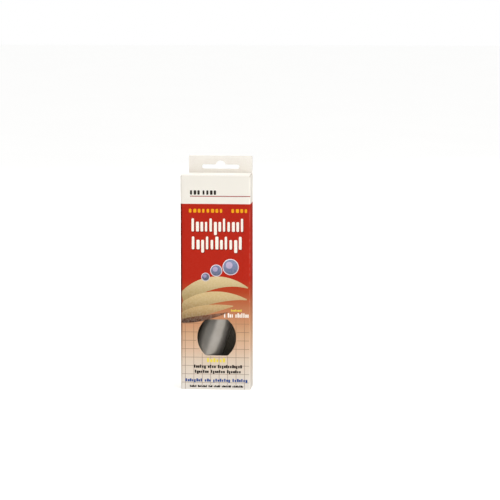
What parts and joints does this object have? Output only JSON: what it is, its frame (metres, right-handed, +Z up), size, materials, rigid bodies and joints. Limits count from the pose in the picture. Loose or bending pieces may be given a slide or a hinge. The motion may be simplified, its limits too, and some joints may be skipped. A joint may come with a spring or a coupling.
{
  "type": "finger splint in window carton",
  "caption": "Foam-lined aluminium gutter splint for a finger, leaning inside a slim window carton with a tuck lid and a hang tab.",
  "frame": {"origin": "middle of the carton's base", "axes": "+Z up along the carton, -Y out of the window in the front panel, +X to the right as seen from the front"},
  "size_m": [0.0534, 0.023, 0.1778],
  "materials": {
    "printed_board": "satin printed board",
    "pale_board": "smooth coated board",
    "sheet_metal": "satin rolled sheet",
    "foam_lining": "soft closed foam"
  },
  "bodies": {
    "carton": {"carton_sleeve": "printed_board", "top_dust_flap_left": "pale_board", "top_dust_flap_right": "pale_board", "bottom_flap": "printed_board", "bottom_dust_flap_left": "pale_board", "bottom_dust_flap_right": "pale_board", "splint_shell": "sheet_metal", "splint_foam": "foam_lining"},
    "lid": {"top_lid": "pale_board", "lid_tongue": "pale_board"}
  },
  "joints": [
    {"name": "lid_crease", "type": "hinge", "parent": "carton", "child": "lid", "pos_m": [0, -0.01095, 0.16415], "axis": [1, 0, 0], "range_deg": [0, 110]}
  ]
}
